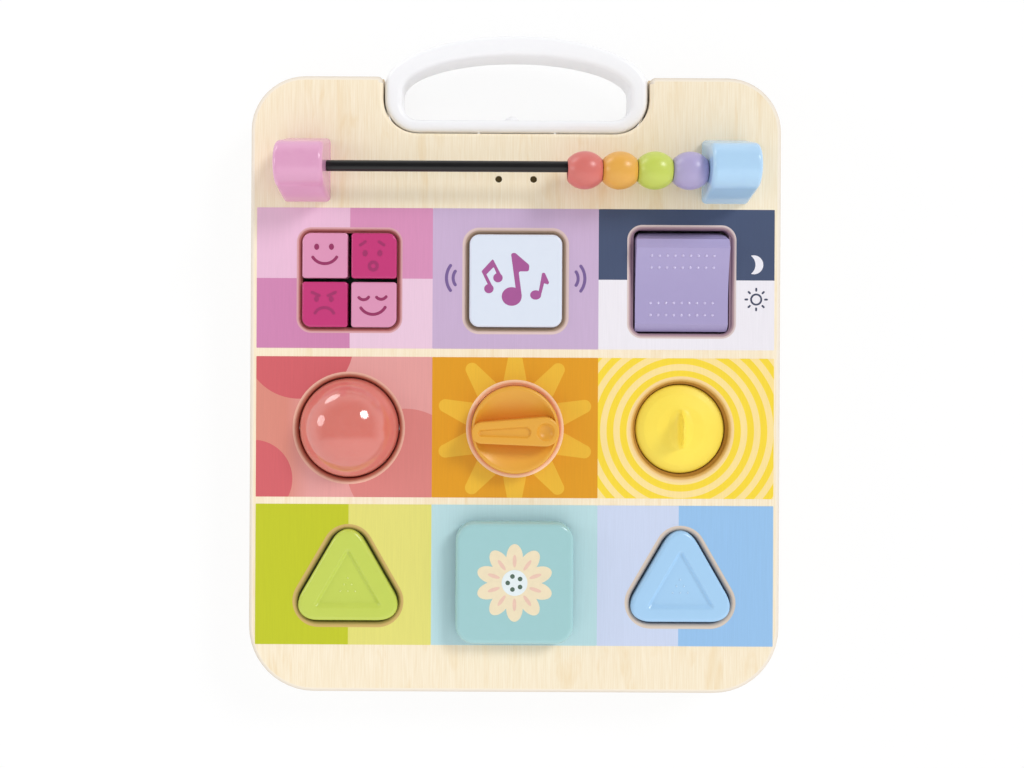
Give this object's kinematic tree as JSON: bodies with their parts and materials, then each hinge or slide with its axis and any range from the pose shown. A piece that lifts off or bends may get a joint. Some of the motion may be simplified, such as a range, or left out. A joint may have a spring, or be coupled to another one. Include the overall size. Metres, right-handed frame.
{
  "type": "busy board",
  "caption": "Wooden busy board with a carry handle, press buttons, a rocker, a ball, a dial, a spinner and beads on a rod, for a child to press, roll, turn and slide.",
  "frame": {"origin": "middle of the board's back face", "axes": "+X right, +Y towards the handle, +Z out of the printed face"},
  "size_m": [0.292, 0.3625, 0.073],
  "materials": {
    "plywood": "printed and lacquered",
    "rail_wood": "lacquered",
    "white_plastic": "satin",
    "pink_plastic": "gloss",
    "magenta_plastic": "gloss",
    "post_pink": "gloss",
    "blue_plastic": "gloss",
    "black_steel": "satin black",
    "bead_red": "gloss",
    "bead_orange": "gloss",
    "bead_green": "gloss",
    "bead_purple": "gloss",
    "pale_blue_plastic": "gloss",
    "lavender_plastic": "gloss",
    "red_plastic": "clear gloss",
    "orange_plastic": "clear gloss",
    "yellow_plastic": "gloss",
    "lime_plastic": "gloss",
    "teal_plastic": "gloss",
    "grey_plastic": "matte",
    "dark_plastic": "matte",
    "silicone": "matte",
    "steel": "bright",
    "circuit": "solder mask",
    "insulation": "satin",
    "cell": "gloss"
  },
  "bodies": {
    "board": {"front_panel": "plywood", "left_rail": "rail_wood", "right_rail": "rail_wood", "bottom_rail": "rail_wood", "top_rail": "rail_wood", "back_panel": "rail_wood", "back_screws": "steel", "handle": "white_plastic", "left_post": "post_pink", "right_post": "blue_plastic", "inner_screws": "steel", "bead_rod": "black_steel", "happy_dome": "silicone", "surprised_dome": "silicone", "cross_dome": "silicone", "calm_dome": "silicone", "face_guide": "grey_plastic", "music_dome": "silicone", "music_guide": "grey_plastic", "rocker_pin": "steel", "rocker_guide": "grey_plastic", "ball_axle": "steel", "axle_keepers": "grey_plastic", "dial_bush": "grey_plastic", "spinner_spindle": "steel", "spinner_cup": "grey_plastic", "green_dome": "silicone", "green_guide": "grey_plastic", "blue_dome": "silicone", "blue_guide": "grey_plastic", "tile_dome": "silicone", "tile_guide": "grey_plastic", "circuit_boards": "circuit", "wiring": "insulation", "speaker": "dark_plastic", "battery_box": "dark_plastic", "cells": "cell", "battery_contacts": "steel", "battery_door": "white_plastic", "door_screws": "steel", "power_switch": "dark_plastic"},
    "happy_button": {"happy_button": "pink_plastic"},
    "surprised_button": {"surprised_button": "magenta_plastic"},
    "cross_button": {"cross_button": "magenta_plastic"},
    "calm_button": {"calm_button": "pink_plastic"},
    "music_button": {"music_button": "pale_blue_plastic"},
    "green_button": {"green_button": "lime_plastic"},
    "blue_button": {"blue_button": "blue_plastic"},
    "tile_button": {"tile_button": "teal_plastic"},
    "rocker": {"rocker": "lavender_plastic"},
    "ball": {"ball_front": "red_plastic", "ball_rear": "red_plastic"},
    "dial": {"dial_knob": "orange_plastic", "dial_clip": "steel"},
    "spinner": {"spinner": "yellow_plastic"},
    "purple_bead": {"purple_bead": "bead_purple"},
    "green_bead": {"green_bead": "bead_green"},
    "orange_bead": {"orange_bead": "bead_orange"},
    "red_bead": {"red_bead": "bead_red"},
    "power_slider": {"power_slider": "white_plastic"}
  },
  "joints": [
    {"name": "happy_button_press", "type": "slide", "parent": "board", "child": "happy_button", "axis": [0, 0, -1], "range_m": [0, 0.003], "stiffness_N_per_m": 200, "springref_m": -0.004, "deforming": ["happy_dome"]},
    {"name": "surprised_button_press", "type": "slide", "parent": "board", "child": "surprised_button", "axis": [0, 0, -1], "range_m": [0, 0.003], "stiffness_N_per_m": 200, "springref_m": -0.004, "deforming": ["surprised_dome"]},
    {"name": "cross_button_press", "type": "slide", "parent": "board", "child": "cross_button", "axis": [0, 0, -1], "range_m": [0, 0.003], "stiffness_N_per_m": 200, "springref_m": -0.004, "deforming": ["cross_dome"]},
    {"name": "calm_button_press", "type": "slide", "parent": "board", "child": "calm_button", "axis": [0, 0, -1], "range_m": [0, 0.003], "stiffness_N_per_m": 200, "springref_m": -0.004, "deforming": ["calm_dome"]},
    {"name": "music_button_press", "type": "slide", "parent": "board", "child": "music_button", "axis": [0, 0, -1], "range_m": [0, 0.003], "stiffness_N_per_m": 260, "springref_m": -0.004, "deforming": ["music_dome"]},
    {"name": "green_button_press", "type": "slide", "parent": "board", "child": "green_button", "axis": [0, 0, -1], "range_m": [0, 0.003], "stiffness_N_per_m": 200, "springref_m": -0.004, "deforming": ["green_dome"]},
    {"name": "blue_button_press", "type": "slide", "parent": "board", "child": "blue_button", "axis": [0, 0, -1], "range_m": [0, 0.003], "stiffness_N_per_m": 200, "springref_m": -0.004, "deforming": ["blue_dome"]},
    {"name": "tile_button_press", "type": "slide", "parent": "board", "child": "tile_button", "axis": [0, 0, -1], "range_m": [0, 0.003], "stiffness_N_per_m": 260, "springref_m": -0.004, "deforming": ["tile_dome"]},
    {"name": "rocker_tilt", "type": "hinge", "parent": "board", "child": "rocker", "pos_m": [0.0913, 0.057, 0.024], "axis": [1, 0, 0], "range_deg": [-16, 0]},
    {"name": "ball_roll", "type": "hinge", "parent": "board", "child": "ball", "pos_m": [-0.0913, -0.0242, 0.033], "axis": [1, 0, 0], "continuous": true},
    {"name": "dial_turn", "type": "hinge", "parent": "board", "child": "dial", "pos_m": [0, -0.0242, 0.03], "axis": [0, 0, 1], "continuous": true},
    {"name": "spinner_turn", "type": "hinge", "parent": "board", "child": "spinner", "pos_m": [0.0913, -0.0242, 0.03], "axis": [0, 0, 1], "continuous": true},
    {"name": "purple_bead_slide", "type": "slide", "parent": "board", "child": "purple_bead", "axis": [-1, 0, 0], "range_m": [0, 0.032]},
    {"name": "green_bead_slide", "type": "slide", "parent": "purple_bead", "child": "green_bead", "axis": [-1, 0, 0], "range_m": [0, 0.032]},
    {"name": "orange_bead_slide", "type": "slide", "parent": "green_bead", "child": "orange_bead", "axis": [-1, 0, 0], "range_m": [0, 0.032]},
    {"name": "red_bead_slide", "type": "slide", "parent": "orange_bead", "child": "red_bead", "axis": [-1, 0, 0], "range_m": [0, 0.032]},
    {"name": "power_slide", "type": "slide", "parent": "board", "child": "power_slider", "axis": [1, 0, 0], "range_m": [0, 0.005]}
  ]
}
